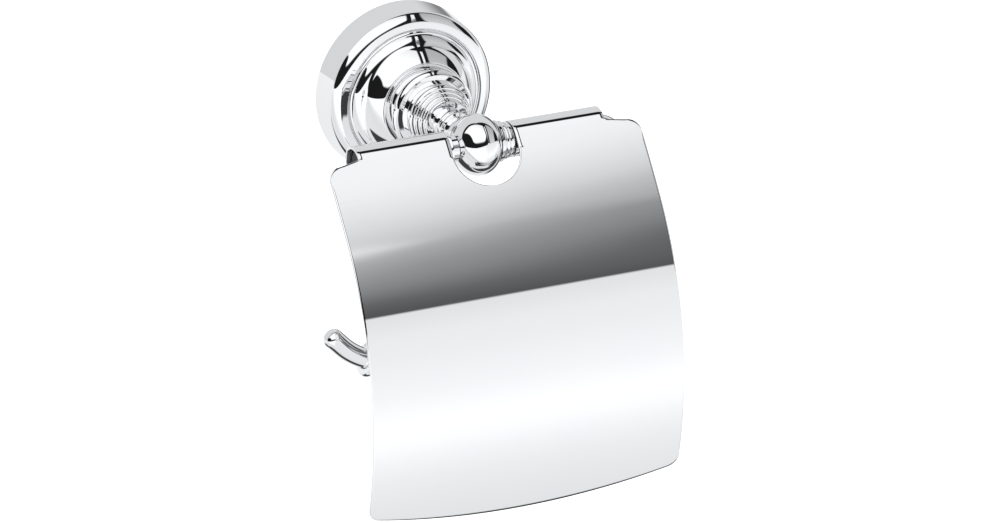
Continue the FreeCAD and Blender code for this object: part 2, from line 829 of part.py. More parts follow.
def make_bush(label, side):
    """Plastic sleeve in a knuckle that grips the axle, so the cover stays where it is put."""
    inside = dim("rod_radius") + dim("bush_gap")
    outside = dim("knuckle_radius") - dim("sheet") - dim("bush_gap")
    start = dim("notch_width") / 2 + dim("bush_inset")
    end = start + dim("bush_length")
    body = turned(label, [
        (start, inside),
        (end, inside),
        (end, outside - dim("chamfer")),
        (end - dim("chamfer"), outside),
        (start + dim("chamfer"), outside),
        (start, outside - dim("chamfer")),
    ], "H_Axis")
    return placed(body, 0, -dim("reach"), 0, (0, 0, 1), 0 if side > 0 else 180)


def build_all():
    return [
        make_rosette(),
        make_bracket(),
        make_rosette_grub(),
        make_stem(),
        make_stem_bolt(),
        make_washer(),
        make_stud(),
        make_ball(),
        make_ball_grub(),
        make_collar_left(),
        make_collar_right(),
        make_cap(),
        make_arm(),
        make_bar_ring(),
        make_cover(),
        make_bush("bush_left", -1),
        make_bush("bush_right", 1),
    ]


def check(parts):
    """Stop if any object failed or any sub-part isn't one sound solid."""
    for item in doc.Objects:
        if {"Invalid", "Error"} & set(item.State):
            raise RuntimeError(f"{item.Label} failed: {item.State}")
        if item.TypeId == "PartDesign::Pocket":
            removed = item.BaseFeature.Shape.Volume - item.Shape.Volume
            if removed < SMALLEST_CUT:
                raise RuntimeError(f"{item.Label} removed only {removed:.4f} mm3")
    for item in parts:
        shape = item.Shape
        if shape.isNull() or not shape.isValid() or not shape.Solids:
            raise RuntimeError(f"{item.Label} has no sound solid")
        print(f"{item.Label:20s} solids {len(shape.Solids)} volume {shape.Volume:10.1f}")


parts = build_all()
doc.recompute()
check(parts)
os.makedirs("parts", exist_ok=True)
for part in parts:
    part.Shape.exportStep(f"parts/{part.Label}.step")
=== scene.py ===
import math
import bmesh
import bpy
from mathutils import Matrix, Vector


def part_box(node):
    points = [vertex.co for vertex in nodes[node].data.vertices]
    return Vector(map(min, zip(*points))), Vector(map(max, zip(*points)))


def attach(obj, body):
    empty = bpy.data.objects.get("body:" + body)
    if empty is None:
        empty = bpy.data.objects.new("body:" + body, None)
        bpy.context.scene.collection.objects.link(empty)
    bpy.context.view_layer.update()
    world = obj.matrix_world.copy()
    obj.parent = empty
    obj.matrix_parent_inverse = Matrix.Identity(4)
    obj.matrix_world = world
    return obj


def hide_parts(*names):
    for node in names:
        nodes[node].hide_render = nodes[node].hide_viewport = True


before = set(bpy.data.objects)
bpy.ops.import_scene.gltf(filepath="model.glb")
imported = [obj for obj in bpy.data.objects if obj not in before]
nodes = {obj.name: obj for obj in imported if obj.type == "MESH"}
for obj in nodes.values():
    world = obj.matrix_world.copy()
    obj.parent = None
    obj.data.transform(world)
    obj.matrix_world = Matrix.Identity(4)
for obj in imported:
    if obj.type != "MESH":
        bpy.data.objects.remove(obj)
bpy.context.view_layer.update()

MM = 0.001
REACH = 70.0
AXLE = Vector((0, -REACH, 0)) * MM
scene = bpy.context.scene


# ---------------------------------------------------------------- node helpers

def link(tree, source, target):
    tree.links.new(source, target)


def shader_of(material):
    return material.node_tree.nodes["Principled BSDF"]


def feed(tree, socket, value):
    """Connect a socket, or set a plain number on it."""
    if isinstance(value, (int, float)):
        socket.default_value = value
    else:
        link(tree, value, socket)


def sum_node(tree, operation, first, second=0.0):
    node = tree.nodes.new("ShaderNodeMath")
    node.operation = operation
    feed(tree, node.inputs[0], first)
    feed(tree, node.inputs[1], second)
    return node.outputs[0]


def add(tree, first, second):
    return sum_node(tree, "ADD", first, second)


def subtract(tree, first, second):
    return sum_node(tree, "SUBTRACT", first, second)


def times(tree, first, second):
    return sum_node(tree, "MULTIPLY", first, second)


def fade(tree, value, low, high, bottom=0.0, top=1.0):
    """A smooth step from bottom at low to top at high; low may lie above high."""
    node = tree.nodes.new("ShaderNodeMapRange")
    node.interpolation_type = "SMOOTHSTEP"
    for name, number in (("Value", value), ("From Min", low), ("From Max", high),
                         ("To Min", bottom), ("To Max", top)):
        feed(tree, node.inputs[name], number)
    return node.outputs["Result"]


def between(tree, value, low, low_full, high_full, high):
    """1 from low_full to high_full, 0 below low and above high, smooth in between."""
    return times(tree, fade(tree, value, low, low_full), fade(tree, value, high, high_full))


def blend(tree, share, first, second):
    """first where share is 0, second where it is 1."""
    node = tree.nodes.new("ShaderNodeMix")
    node.data_type = "FLOAT"
    feed(tree, node.inputs[0], share)
    feed(tree, node.inputs[2], first)
    feed(tree, node.inputs[3], second)
    return node.outputs[0]


def curve_of(tree, angle, stops):
    """A tone that follows (angle, tone) stops; angles run from -180 to 180 degrees."""
    ramp = tree.nodes.new("ShaderNodeValToRGB")
    band = ramp.color_ramp
    band.interpolation = "LINEAR"
    link(tree, sum_node(tree, "DIVIDE", add(tree, angle, 180.0), 360.0), ramp.inputs[0])
    for number, (place, tone) in enumerate(stops):
        place = (place + 180) / 360
        stop = band.elements[number] if number < 2 else band.elements.new(place)
        stop.position = place
        stop.color = (tone, tone, tone, 1)
    return ramp.outputs[0]


# ---------------------------------------------------------------- studio

DEGREES = 180 / math.pi
# tones up and over the room: (angle over, brightness)
ROOM_TONES = ((-180, 0.95), (-70, 0.80), (-53, 0.865), (-50, 0.88), (-43.4, 0.92), (-36.8, 0.985),
              (-30, 1.08), (-23.7, 1.12), (-18, 1.06), (-10.7, 1.0), (-3.4, 0.965), (4, 0.925),
              (11.4, 0.905), (18.8, 0.83), (90, 0.80), (180, 0.80))
# tones of the narrow part of the light box that the cover mirrors
COVER_TONES = ((-180, 0.0), (20, 0.075), (26.2, 0.125), (33.6, 0.228), (41.0, 0.31), (46.0, 0.40),
               (48.3, 0.47), (49.0, 0.53), (49.8, 0.62), (50.6, 0.69), (51.4, 0.75), (52.2, 0.80),
               (53.1, 0.85), (54.7, 0.925), (56.3, 0.96), (60, 0.98))
# where a soft edge starts, is full, is still full and ends, in degrees across
BOX_SIDES = (-55.0, -52.0, 16.5, 18.5)
COVER_SIDES = (21.6, 22.2, 25.0, 25.6)
CARD_SIDES = (30.0, 32.5, 60.0, 64.0)
HUMP_SIDES = (16.0, 21.0, 27.0, 32.0)
COVER_MIDDLE, BOX_MIDDLE, BOX_HALF = 23.6, -20.0, 38.0
BOX_BOTTOM, BOX_BOTTOM_FULL, BOX_CORNER_FULL, BOX_CORNER_LIFT = 21.0, 33.0, 30.0, 24.0
BOX_TOP, BOX_TOP_LEAN = 97.0, 0.5
HORIZON, HORIZON_LEAN, HORIZON_HUMP = 12.5, 0.15, 4.4
CEILING, CEILING_LEAN, CEILING_TONE = 105.0, 0.6, 0.72
DARK_TONE, LEFT_GLOW = 0.012, 0.14
# the ways ahead of, below and to the right of the viewer
AHEAD, BELOW, RIGHT = (0.3990, 0.8398, -0.3681), (-0.158, -0.332, -0.930), (0.903, -0.429, 0.0)


def along(tree, direction, way):
    """How much of the direction looked at lies along a way."""
    node = tree.nodes.new("ShaderNodeVectorMath")
    node.operation = "DOT_PRODUCT"
    link(tree, direction, node.inputs[0])
    node.inputs[1].default_value = way
    return node.outputs["Value"]


def dark_flags(tree, direction):
    """Two dark flags behind the holder: a crescent below and a narrow one to the right."""
    turn = sum_node(tree, "ARCCOSINE", along(tree, direction, AHEAD))
    spread = sum_node(tree, "MAXIMUM", sum_node(tree, "SINE", turn), 0.05)
    lowness = sum_node(tree, "DIVIDE", along(tree, direction, BELOW), spread)
    rightness = sum_node(tree, "DIVIDE", along(tree, direction, RIGHT), spread)
    turn = times(tree, turn, DEGREES)
    crescent = between(tree, turn, 50.0, 55.0, 78.0, 82.0)
    crescent = times(tree, crescent, fade(tree, lowness, 0.25, 0.5))
    flag = between(tree, turn, 14.0, 22.0, 40.0, 48.0)
    flag = times(tree, flag, fade(tree, rightness, 0.15, 0.5))
    both = add(tree, crescent, times(tree, flag, 0.9))
    return times(tree, sum_node(tree, "MINIMUM", both, 1.0), 0.94)


def white_room(tree, direction, across, over):
    """Walls and floor: nearly white, brighter low on the left, a light grey ceiling."""
    room = curve_of(tree, over, ROOM_TONES)
    low_left = times(tree, fade(tree, across, 15.0, 0.0), fade(tree, over, -60.0, -40.0))
    room = times(tree, room, add(tree, times(tree, low_left, LEFT_GLOW), 1.0))
    room = blend(tree, fade(tree, over, 85.0, 95.0), room, CEILING_TONE)
    return times(tree, room, subtract(tree, 1.0, dark_flags(tree, direction)))


def dark_band(tree, across, over):
    """1 in the dark band between the horizon and the ceiling."""
    hump = times(tree, between(tree, across, *HUMP_SIDES), HORIZON_HUMP)
    horizon = add(tree, add(tree, times(tree, across, HORIZON_LEAN), HORIZON), hump)
    leftward = sum_node(tree, "MAXIMUM", times(tree, across, -1.0), 0.0)
    ceiling = add(tree, times(tree, leftward, CEILING_LEAN), CEILING)
    return times(tree, fade(tree, subtract(tree, over, horizon), -0.5, 0.5),
                 fade(tree, subtract(tree, over, ceiling), 1.5, -1.5))


def round_box(tree, across, over):
    """The big soft light box, with its lower corners rounded off."""
    aside = sum_node(tree, "ABSOLUTE", subtract(tree, across, BOX_MIDDLE))
    lift = times(tree, sum_node(tree, "POWER", times(tree, aside, 1 / BOX_HALF), 4.0),
                 BOX_CORNER_LIFT)
    box = times(tree, fade(tree, over, BOX_BOTTOM, BOX_BOTTOM_FULL),
                fade(tree, add(tree, over, across), 55.0, 120.0, 1.12, 0.86))
    corners = fade(tree, subtract(tree, over, lift), BOX_BOTTOM, BOX_CORNER_FULL)
    return times(tree, times(tree, box, corners), between(tree, across, *BOX_SIDES))


def cover_strip(tree, across, over):
    """The strip of light that the cover mirrors; its tones slant a little across it."""
    slant = subtract(tree, times(tree, fade(tree, over, 22.0, 36.0), 5.4),
                     times(tree, fade(tree, over, 45.5, 49.5), 4.1))
    slide = times(tree, subtract(tree, across, COVER_MIDDLE), slant)
    tones = curve_of(tree, subtract(tree, over, slide), COVER_TONES)
    return times(tree, tones, between(tree, across, *COVER_SIDES))


def lights(tree, across, over):
    """The light box, the cover's strip of it and a grey card to their right."""
    box = add(tree, round_box(tree, across, over), cover_strip(tree, across, over))
    box_top = subtract(tree, BOX_TOP, times(tree, across, BOX_TOP_LEAN))
    box = times(tree, box, fade(tree, subtract(tree, over, box_top), 1.0, -1.0))
    card = times(tree, between(tree, across, *CARD_SIDES), fade(tree, over, 97.0, 94.0))
    card = times(tree, card, fade(tree, over, 20.0, 90.0, 0.62, 0.46))
    return add(tree, add(tree, box, card), DARK_TONE)


def make_sky():
    """White room with a dark band overhead that holds the lights.

    The room is laid out by two angles of the direction looked at: across, its lean to the
    right, and over, its turn about the hinge's line from straight ahead through overhead.
    """
    world = bpy.data.worlds.new("studio")
    scene.world = world
    world.use_nodes = True
    tree = world.node_tree
    tree.nodes.clear()
    direction = tree.nodes.new("ShaderNodeTexCoord").outputs["Generated"]
    split = tree.nodes.new("ShaderNodeSeparateXYZ")
    link(tree, direction, split.inputs[0])
    right, away, up = split.outputs
    across = times(tree, sum_node(tree, "ARCSINE", right), DEGREES)
    over = times(tree, sum_node(tree, "ARCTAN2", up, times(tree, away, -1.0)), DEGREES)
    tone = blend(tree, dark_band(tree, across, over), white_room(tree, direction, across, over),
                 lights(tree, across, over))
    tint = tree.nodes.new("ShaderNodeCombineColor")
    for channel, share in zip(tint.inputs, (0.972, 0.985, 1.0)):
        link(tree, times(tree, tone, share), channel)
    ground = tree.nodes.new("ShaderNodeBackground")
    link(tree, tint.outputs[0], ground.inputs["Color"])
    out = tree.nodes.new("ShaderNodeOutputWorld")
    link(tree, ground.outputs[0], out.inputs["Surface"])


FLOOR_DROP, FLOOR_HALF = 0.25, 40.0


def make_floor():
    """Plain white floor well below the holder, left out of its reflections."""
    shape = bmesh.new()
    bmesh.ops.create_grid(shape, x_segments=8, y_segments=8, size=FLOOR_HALF,
                          matrix=Matrix.Translation((0, 0, -FLOOR_DROP)))
    mesh = bpy.data.meshes.new("floor")
    shape.to_mesh(mesh)
    shape.free()
    floor = bpy.data.objects.new("floor", mesh)
    scene.collection.objects.link(floor)
    floor.visible_glossy = False
    floor.visible_diffuse = False
    material = bpy.data.materials.new("white_floor")
    material.use_nodes = True
    shader = shader_of(material)
    shader.inputs["Base Color"].default_value = (0.9, 0.9, 0.9, 1)
    shader.inputs["Roughness"].default_value = 0.9
    shader.inputs["Emission Color"].default_value = (1, 1, 1, 1)
    shader.inputs["Emission Strength"].default_value = 0.8
    mesh.materials.append(material)


CAMERA_SWING, CAMERA_RISE, CAMERA_FAR, SENSOR = 25.4, 21.6, 3.0, 36.0
# sensor widths that one metre at the holder fills
FRAME_SCALE = 2.685
# where the camera looks, from the ball's middle, in mm
AIM_RIGHT, AIM_DOWN = 8.57, 43.39


def make_camera():
    """A long lens, held level, to the left of the holder and above it."""
    swing, rise = math.radians(CAMERA_SWING), math.radians(CAMERA_RISE)
    back = Vector((-math.sin(swing) * math.cos(rise), -math.cos(swing) * math.cos(rise),
                   math.sin(rise)))
    side = Vector((math.cos(swing), -math.sin(swing), 0))
    top = back.cross(side)
    ball = sum(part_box("ball"), Vector()) / 2
    aim = ball + side * AIM_RIGHT * MM - top * AIM_DOWN * MM
    data = bpy.data.cameras.new("camera")
    data.sensor_width = SENSOR
    data.lens = SENSOR * FRAME_SCALE * CAMERA_FAR
    data.clip_end = 50.0
    camera = bpy.data.objects.new("camera", data)
    turn = Matrix((side, top, back)).transposed().to_4x4()
    camera.matrix_world = Matrix.Translation(aim + back * CAMERA_FAR) @ turn
    scene.collection.objects.link(camera)
    scene.camera = camera


# ---------------------------------------------------------------- materials

def noise(tree, place, scale, detail=2.0, stretch=(1, 1, 1)):
    mapping = tree.nodes.new("ShaderNodeMapping")
    mapping.inputs["Scale"].default_value = stretch
    link(tree, place, mapping.inputs["Vector"])
    node = tree.nodes.new("ShaderNodeTexNoise")
    node.inputs["Scale"].default_value = scale
    node.inputs["Detail"].default_value = detail
    link(tree, mapping.outputs[0], node.inputs["Vector"])
    return node.outputs[0]


def new_material(name):
    material = bpy.data.materials.new(name)
    material.use_nodes = True
    tree = material.node_tree
    place = tree.nodes.new("ShaderNodeTexCoord").outputs["Object"]
    return material, tree, shader_of(material), place


def bumped(tree, shader, height, strength, distance):
    bump = tree.nodes.new("ShaderNodeBump")
    bump.inputs["Strength"].default_value = strength
    bump.inputs["Distance"].default_value = distance
    link(tree, height, bump.inputs["Height"])
    link(tree, bump.outputs[0], shader.inputs["Normal"])


def tinted(tree, shader, share, first, second):
    mix = tree.nodes.new("ShaderNodeMix")
    mix.data_type = "RGBA"
    link(tree, share, mix.inputs[0])
    mix.inputs[6].default_value = (*first, 1)
    mix.inputs[7].default_value = (*second, 1)
    link(tree, mix.outputs[2], shader.inputs["Base Color"])


def make_chrome(name, waviness, wave_scale):
    """Polished chrome plate: faint wipe marks, hairline polishing scratches, a slow ripple."""
    material, tree, shader, place = new_material(name)
    shader.inputs["Metallic"].default_value = 1.0
    wipe = noise(tree, place, 45.0, 3.0, (1.0, 1.0, 0.45))
    hairs = noise(tree, place, 900.0, 2.0, (0.05, 1.0, 1.0))
    pits = noise(tree, place, 5200.0, 1.0)
    worn = fade(tree, wipe, 0.52, 0.72)
    rough = add(tree, times(tree, worn, 0.022), times(tree, fade(tree, hairs, 0.6, 0.8), 0.02))
    link(tree, add(tree, rough, 0.016), shader.inputs["Roughness"])
    tinted(tree, shader, wipe, (0.945, 0.945, 0.945), (0.925, 0.93, 0.94))
    height = add(tree, times(tree, noise(tree, place, wave_scale, 1.0), waviness),
                 times(tree, pits, 0.004))
    bumped(tree, shader, height, 0.35, 0.0001)
    return material


def make_zinc(name, tone, grain):
    """Satin zinc plate: a fine turned grain with cloudy, slightly darker patches."""
    material, tree, shader, place = new_material(name)
    shader.inputs["Metallic"].default_value = 1.0
    cloud = noise(tree, place, 160.0, 4.0)
    lines = noise(tree, place, grain, 2.0, (1.0, 0.15, 1.0))
    tinted(tree, shader, cloud, [v * tone for v in (0.98, 0.985, 1.0)],
           [v * tone * 0.86 for v in (1.0, 0.985, 0.96)])
    link(tree, add(tree, times(tree, lines, 0.16), 0.26), shader.inputs["Roughness"])
    bumped(tree, shader, lines, 0.25, 0.00006)
    return material


def make_plastic(name):
    """Matte black moulded plastic with a fine spark-eroded grain."""
    material, tree, shader, place = new_material(name)
    grain = noise(tree, place, 2600.0, 3.0)
    tinted(tree, shader, noise(tree, place, 300.0, 2.0), (0.028, 0.028, 0.03), (0.045, 0.045, 0.047))
    link(tree, add(tree, times(tree, grain, 0.2), 0.45), shader.inputs["Roughness"])
    bumped(tree, shader, grain, 0.4, 0.00008)
    return material


# ---------------------------------------------------------------- outlines

# corners that turn by more than this are rounded, with this many points
CORNER_ANGLE, CORNER_POINTS = math.radians(18), 5
# a round takes at most this share of the runs beside it
CUT_SHARE = 0.4
ON_AXIS = 0.001
# straight runs over LONG_RUN mm get points RUN_END mm from their ends, which keeps them flat
RUN_END, LONG_RUN = 0.5, 2.0
ARC_TURN, FEWEST_IN_ARC = math.radians(6), 4
WELD = 0.000001
ROUND_STEPS = 64


def arc_points(first, last, radius, side, stride):
    """Points of the shorter arc after first; its centre lies left of the way for side 1."""
    chord = last - first
    along = chord.normalized()
    across = Vector((-along.y, along.x))
    height = math.sqrt(max(radius ** 2 - (chord.length / 2) ** 2, 0))
    centre = first + chord * 0.5 + across * (side * height)
    sweep = 2 * math.asin(min(1.0, chord.length / 2 / radius)) * side
    count = math.ceil(max(abs(sweep) * radius / stride, abs(sweep) / ARC_TURN))
    count = max(FEWEST_IN_ARC, count)
    start = first - centre
    return [centre + Matrix.Rotation(sweep * k / count, 2) @ start for k in range(1, count + 1)]


def outline_points(corners, stride, soft):
    """A closed outline in mm as close points, with small rounds on its sharp corners.

    A corner is (x, y), or (x, y, radius, side) where an arc leaves it.
    Corners at x = 0 or less stay sharp.
    """
    spots = [Vector(corner[:2]) for corner in corners]
    points = []
    for number, corner in enumerate(corners):
        first, last = spots[number], spots[(number + 1) % len(spots)]
        if len(corner) == 4:
            points += arc_points(first, last, corner[2], corner[3], stride)
        else:
            length, inner = (last - first).length, ()
            if length > LONG_RUN:
                inner = (RUN_END / length, 0.5, 1 - RUN_END / length)
            points += [first.lerp(last, share) for share in inner] + [last]
    smooth = []
    for number, spot in enumerate(points):
        before, after = points[number - 1], points[(number + 1) % len(points)]
        come, go = spot - before, after - spot
        if spot.x < ON_AXIS or come.angle(go, 0.0) < CORNER_ANGLE:
            smooth.append(spot)
            continue
        cut = min(soft, come.length * CUT_SHARE, go.length * CUT_SHARE)
        start, end = spot - come.normalized() * cut, spot + go.normalized() * cut
        for k in range(CORNER_POINTS):
            share = k / (CORNER_POINTS - 1)
            smooth.append(start * (1 - share) ** 2 + spot * (2 * share * (1 - share))
                          + end * share ** 2)
    return smooth


def finished_mesh(name, shape, sharp=60.0):
    """Close seams, point the faces outwards and turn the bmesh into a shaded mesh."""
    bmesh.ops.remove_doubles(shape, verts=shape.verts, dist=WELD)
    bmesh.ops.recalc_face_normals(shape, faces=shape.faces)
    for face in shape.faces:
        face.smooth = True
    mesh = bpy.data.meshes.new(name)
    shape.to_mesh(mesh)
    shape.free()
    mesh.set_sharp_from_angle(angle=math.radians(sharp))
    return mesh


def shown(name, mesh, body, node, slot, material):
    """Put a finished mesh in the scene in place of a CAD node."""
    piece = bpy.data.objects.new(name, mesh)
    scene.collection.objects.link(piece)
    mesh.materials.append(material)
    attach(piece, body)
    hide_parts(node)
    return piece


def spun(corners, axis, steps, stride, soft, place=None):
    """Spin an outline in mm about the "stem" line (Y) or about the "axle" (X at the reach)."""
    shape = bmesh.new()
    loop = [shape.verts.new(Vector((x, y, 0)) * MM) for x, y in outline_points(corners, stride, soft)]
    edges = [shape.edges.new(pair) for pair in zip(loop, loop[1:] + loop[:1])]
    about = (0, 1, 0) if axis == "stem" else (1, 0, 0)
    bmesh.ops.spin(shape, geom=loop + edges, cent=(0, 0, 0), axis=about, angle=math.tau,
                   steps=steps, use_merge=True)
    if axis == "axle":
        bmesh.ops.translate(shape, verts=shape.verts, vec=AXLE)
    if place is not None:
        bmesh.ops.transform(shape, verts=shape.verts, matrix=place)
    return shape


def bored(mesh, cutters):
    """Cut round holes, each (radius, start, end) in mm, out of a mesh."""
    body = bpy.data.objects.new("work", mesh)
    scene.collection.objects.link(body)
    tools = []
    for radius, start, end in cutters:
        start, end = Vector(start) * MM, Vector(end) * MM
        drill = bmesh.new()
        turn = (end - start).to_track_quat("Z", "Y").to_matrix().to_4x4()
        bmesh.ops.create_cone(drill, cap_ends=True, segments=ROUND_STEPS, radius1=radius * MM,
                              radius2=radius * MM, depth=(end - start).length,
                              matrix=Matrix.Translation((start + end) / 2) @ turn)
        tool_mesh = bpy.data.meshes.new("drill")
        drill.to_mesh(tool_mesh)
        drill.free()
        tool = bpy.data.objects.new("drill", tool_mesh)
        scene.collection.objects.link(tool)
        cut = body.modifiers.new("bore", "BOOLEAN")
        cut.operation = "DIFFERENCE"
        cut.solver = "EXACT"
        cut.object = tool
        tools.append(tool)
    graph = bpy.context.evaluated_depsgraph_get()
    result = bpy.data.meshes.new_from_object(body.evaluated_get(graph))
    for item in [body] + tools:
        old = item.data
        bpy.data.objects.remove(item)
        bpy.data.meshes.remove(old)
    result.set_sharp_from_angle(angle=math.radians(50))
    return result


# ---------------------------------------------------------------- flange and stem

GAP, CLEAR, EDGE = 0.05, 0.2, 0.5
THREAD_RADIUS, GRUB_RADIUS, BRACKET_MIDDLE = 3.0, 2.0, 2.5
FOOT_RADIUS, RIM_RADIUS, RIM_WALL, RIM_DEPTH, SHELL = 34.3, 33.3, 2.6, 12.0, 2.0
BAND_RADIUS, BAND_DEPTH, BAND_ROUND, LIP_RADIUS, LIP_DEPTH = 30.1, 14.9, 5.8, 27.7, 15.4
GROOVE_RADIUS, GROOVE_DEPTH, BEAD_RADIUS, BEAD_DEPTH, BEAD_ROUND = 26.9, 14.3, 25.7, 15.7, 1.2
STEP_RADIUS, STEP_DEPTH, STEP_ROUND = 22.9, 18.2, 5.0
DOME_RADIUS, DOME_DEPTH, DOME_ROUND, CROWN_RADIUS, CROWN_DEPTH = 22.0, 18.9, 19.3, 17.2, 24.6


def rosette_outline():
    """The hollow flange: a dome, a bead between two rounded bands and a deep rim."""
    hole = THREAD_RADIUS + CLEAR
    return [
        (hole, -CROWN_DEPTH),
        (CROWN_RADIUS, -CROWN_DEPTH, DOME_ROUND, 1),
        (DOME_RADIUS, -DOME_DEPTH),
        (STEP_RADIUS, -STEP_DEPTH, STEP_ROUND, 1),
        (BEAD_RADIUS, -BEAD_DEPTH, BEAD_ROUND, 1),
        (GROOVE_RADIUS, -GROOVE_DEPTH),
        (LIP_RADIUS, -LIP_DEPTH),
        (BAND_RADIUS, -BAND_DEPTH, BAND_ROUND, 1),
        (RIM_RADIUS, -RIM_DEPTH),
        (FOOT_RADIUS, 0),
        (FOOT_RADIUS - RIM_WALL, 0),
        (RIM_RADIUS - RIM_WALL, -RIM_DEPTH + RIM_WALL / 2),
        (GROOVE_RADIUS, -GROOVE_DEPTH + RIM_WALL),
        (BEAD_RADIUS - RIM_WALL, -GROOVE_DEPTH + RIM_WALL / 2),
        (DOME_RADIUS - RIM_WALL, -DOME_DEPTH + SHELL),
        (CROWN_RADIUS - SHELL, -CROWN_DEPTH + SHELL),
        (hole, -CROWN_DEPTH + SHELL),
    ]


DRUM_RADIUS, DRUM_TAPER, DRUM_RISE, DRUM_ROUND = 17.0, 0.5, 6.7, 2.6
DRUM_BOSS, DRUM_HOLLOW, DRUM_CAVITY, STEM_BORE, SEAT_DEPTH, STUD_START = 6.6, 13.0, 5.5, 14.0, 60.2, 51.0
RING_TWO, RING_TWO_RISE, RING_TWO_ROUND = 13.0, 5.2, 1.4
RING_THREE, RING_PITCH, RING_SHRINK, RING_CREST, RING_COUNT = 11.3, 2.0, 1.1, 0.8, 3
EDGE_IN, EDGE_OUT, CREST_RUN, CREST_FALL = 0.6, 0.55, 0.8, 0.2
WAIST_RADIUS, WAIST_NEAR, WAIST_FAR, WAIST_ROUND, NECK_RADIUS, NECK_SLOPE = 6.0, 0.6, 5.4, 3.0, 5.4, 0.4
STEM_COLLAR, COLLAR_NEAR, COLLAR_FAR, STEM_COLLAR_ROUND = 6.7, 6.4, 8.2, 1.2


def stem_outline():
    """The stem: a hollow drum, a smaller drum, thin stepped rings, a waist, a collar and a neck."""
    bore = THREAD_RADIUS + GAP
    top = CROWN_DEPTH + DRUM_RISE
    second = top + DRUM_ROUND * EDGE_IN + RING_TWO_RISE
    drum, two = DRUM_RADIUS - DRUM_TAPER, RING_TWO - DRUM_TAPER / 2
    outline = [
        (0, -CROWN_DEPTH - STEM_BORE),
        (bore, -CROWN_DEPTH - STEM_BORE),
        (bore, -CROWN_DEPTH),
        (DRUM_BOSS, -CROWN_DEPTH),
        (DRUM_BOSS, -CROWN_DEPTH - DRUM_CAVITY),
        (DRUM_HOLLOW, -CROWN_DEPTH - DRUM_CAVITY),
        (DRUM_HOLLOW, -CROWN_DEPTH),
        (DRUM_RADIUS, -CROWN_DEPTH),
        (drum, -top, DRUM_ROUND, 1),
        (drum - DRUM_ROUND * EDGE_IN, -top - DRUM_ROUND * EDGE_OUT),
        (RING_TWO, -top - DRUM_ROUND * EDGE_IN),
        (two, -second, RING_TWO_ROUND, 1),
        (two - RING_TWO_ROUND * EDGE_IN, -second - RING_TWO_ROUND * EDGE_OUT),
    ]
    depth, radius = second + RING_TWO_ROUND * EDGE_IN, RING_THREE
    for _ in range(RING_COUNT):
        after = depth + RING_PITCH
        outline += [
            (radius, -depth),
            (radius, -after + RING_CREST * CREST_RUN, RING_CREST, 1),
            (radius - RING_CREST * EDGE_IN, -after + RING_CREST * CREST_FALL),
        ]
        depth, radius = after, radius - RING_SHRINK
    outline += [
        (WAIST_RADIUS, -depth),
        (WAIST_RADIUS, -depth - WAIST_NEAR, WAIST_ROUND, 1),
        (WAIST_RADIUS, -depth - WAIST_FAR),
        (NECK_RADIUS, -depth - WAIST_FAR - NECK_SLOPE),
        (NECK_RADIUS, -depth - COLLAR_NEAR + NECK_SLOPE / 2),
        (STEM_COLLAR, -depth - COLLAR_NEAR, STEM_COLLAR_ROUND, 1),
        (STEM_COLLAR, -depth - COLLAR_FAR),
        (NECK_RADIUS, -depth - COLLAR_FAR - NECK_SLOPE),
        (NECK_RADIUS, -SEAT_DEPTH),
        (bore, -SEAT_DEPTH),
        (bore, -STUD_START + EDGE),
        (0, -STUD_START + EDGE),
    ]
    return outline


# ---------------------------------------------------------------- ball and axle fittings

BALL_TALL, BALL_HALF, BALL_SIDE = 11.75, 9.8, 13.0
AXLE_RADIUS = 4.0


def beside_ball(radius):
    """How far along the axle a ring of that radius clears the ball's side."""
    clear = BALL_SIDE + CLEAR
    return math.sqrt(clear * clear - radius * radius) - (BALL_SIDE - BALL_HALF)


def ball_outline():
    """The ball's turned skin, already bored for the axle."""
    inset, past = BALL_SIDE - BALL_HALF, BALL_SIDE - BALL_TALL
    crest = (BALL_SIDE ** 2 - BALL_TALL ** 2 - inset ** 2) / (past * 2)
    share = BALL_SIDE / (BALL_SIDE - crest)
    bore = AXLE_RADIUS + GAP
    face = math.sqrt(BALL_SIDE ** 2 - bore ** 2) - inset
    return [
        (-face, bore, BALL_SIDE, -1),
        (inset - inset * share, (BALL_TALL - crest) * share, crest, -1),
        (inset * share - inset, (BALL_TALL - crest) * share, BALL_SIDE, -1),
        (face, bore),
    ]


FITTING_BORE, COLLAR_END = AXLE_RADIUS + GAP, 13.2
COLLAR_RADIUS, COLLAR_MIDDLE, COLLAR_FOOT, COLLAR_WAIST = 8.0, 7.4, 6.9, 6.4
COLLAR_PARTS, COLLAR_FOOT_RUN, COLLAR_SLOPE, COLLAR_HUMP_RUN, COLLAR_HUMP_ROUND = 9, 2.4, 0.4, 2.2, 0.8
SPACER_NECK, SPACER_RADIUS, SPACER_FLANGE = 5.0, 6.6, 1.2
BAR_RING_RADIUS, BAR_RING_HALF, BAR_RING_ROUND = 6.4, 1.5, 1.6


